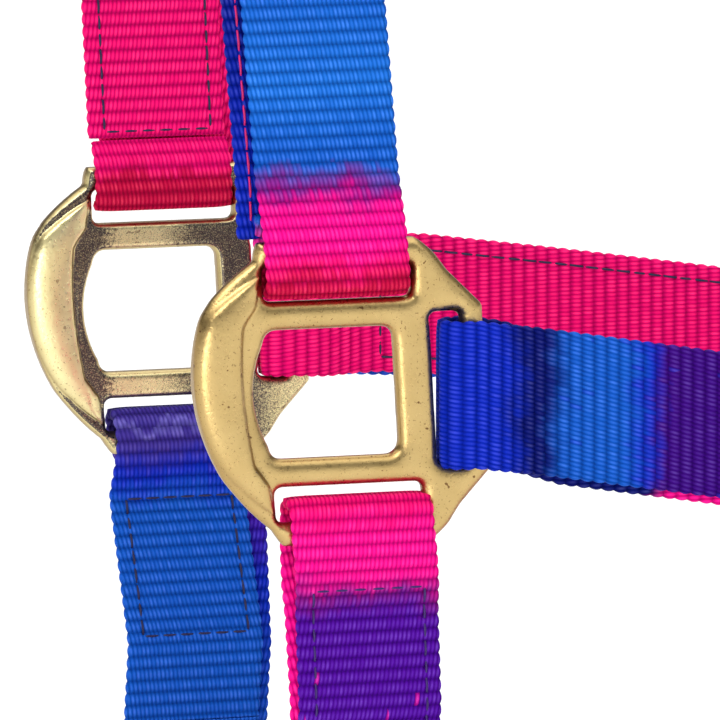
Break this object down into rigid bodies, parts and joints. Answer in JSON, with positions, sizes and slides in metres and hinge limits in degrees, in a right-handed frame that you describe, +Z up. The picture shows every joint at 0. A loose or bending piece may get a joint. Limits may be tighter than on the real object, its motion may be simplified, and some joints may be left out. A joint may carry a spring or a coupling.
{
  "type": "head halter",
  "caption": "Horse-type webbing head halter with cast square hardware at the muzzle, cheek rings, crown buckle, throat snap and a lead ring.",
  "frame": {"origin": "underside of the crown strap at its highest point, where it rests on the poll", "axes": "+Z up, nose towards -X, the near (left) side of the head at -Y"},
  "size_m": [0.2412, 0.128, 0.3637],
  "materials": {
    "webbing": "ribbed nylon webbing, dip dyed pink, blue and purple",
    "brass": "cast, satin plated",
    "spring_steel": "plain wire"
  },
  "bodies": {
    "head": {"crown_strap": "webbing", "crown_eyelets": "brass", "buckle_tab": "webbing", "buckle_frame": "brass", "fixed_keeper": "webbing", "cheek_ring_near": "brass", "cheek_ring_far": "brass", "throat_strap": "webbing", "snap_eye": "brass"},
    "cheek_far": {"cheek_strap_far": "webbing"},
    "cheek_near": {"cheek_strap_near": "webbing"},
    "muzzle": {"square_near": "brass", "square_far": "brass", "noseband_outer": "webbing", "noseband_inner": "webbing", "chin_strap_near": "webbing", "chin_strap_far": "webbing"},
    "lead_ring": {"lead_ring": "brass"},
    "jaw": {"jaw_strap": "webbing"},
    "tongue": {"buckle_tongue": "brass"},
    "roller": {"buckle_roller": "brass"},
    "keeper": {"sliding_keeper": "webbing"},
    "snap": {"snap_hook": "brass", "snap_spring": "spring_steel"},
    "bolt": {"snap_bolt": "brass"}
  },
  "joints": [
    {"name": "sway", "type": "hinge", "parent": "head", "child": "cheek_far", "pos_m": [-0.0185, 0.054, -0.245], "axis": [0, 0, 1], "range_deg": [-18, 18]},
    {"name": "muzzle_sway", "type": "hinge", "parent": "cheek_far", "child": "muzzle", "pos_m": [-0.1685, 0.054, -0.224], "axis": [0, 0, 1], "range_deg": [-18, 18]},
    {"name": "cheek_near_sway", "type": "hinge", "parent": "head", "child": "cheek_near", "pos_m": [-0.0185, -0.054, -0.245], "axis": [0, 0, 1], "range_deg": [-18, 18]},
    {"name": "jaw_sway", "type": "hinge", "parent": "head", "child": "jaw", "pos_m": [-0.0185, 0, -0.356], "axis": [0, 0, 1], "range_deg": [-18, 18]},
    {"name": "lead_ring_turn", "type": "hinge", "parent": "muzzle", "child": "lead_ring", "pos_m": [-0.18987, 0, -0.324], "axis": [0, 0, 1], "continuous": true},
    {"name": "tongue_lift", "type": "hinge", "parent": "head", "child": "tongue", "pos_m": [0, -0.0483, -0.1665], "axis": [1, 0, 0], "range_deg": [0, 11]},
    {"name": "roller_turn", "type": "hinge", "parent": "head", "child": "roller", "pos_m": [0, -0.061, -0.14275], "axis": [1, 0, 0], "continuous": true},
    {"name": "keeper_slide", "type": "slide", "parent": "head", "child": "keeper", "axis": [0, 0, 1], "range_m": [0, 0.008]},
    {"name": "snap_swivel", "type": "hinge", "parent": "head", "child": "snap", "pos_m": [0, -0.054, -0.29], "axis": [0, 0, 1], "range_deg": [-12, 12]},
    {"name": "bolt_pull", "type": "slide", "parent": "snap", "child": "bolt", "axis": [0, 0, -1], "range_m": [0, 0.007], "stiffness_N_per_m": 300, "springref_m": -0.004, "deforming": ["snap_spring"]}
  ],
  "couplings": [
    {"joint": "muzzle_sway", "follows": "sway", "ratio": -1},
    {"joint": "cheek_near_sway", "follows": "sway", "ratio": 1},
    {"joint": "jaw_sway", "follows": "sway", "ratio": 1}
  ]
}
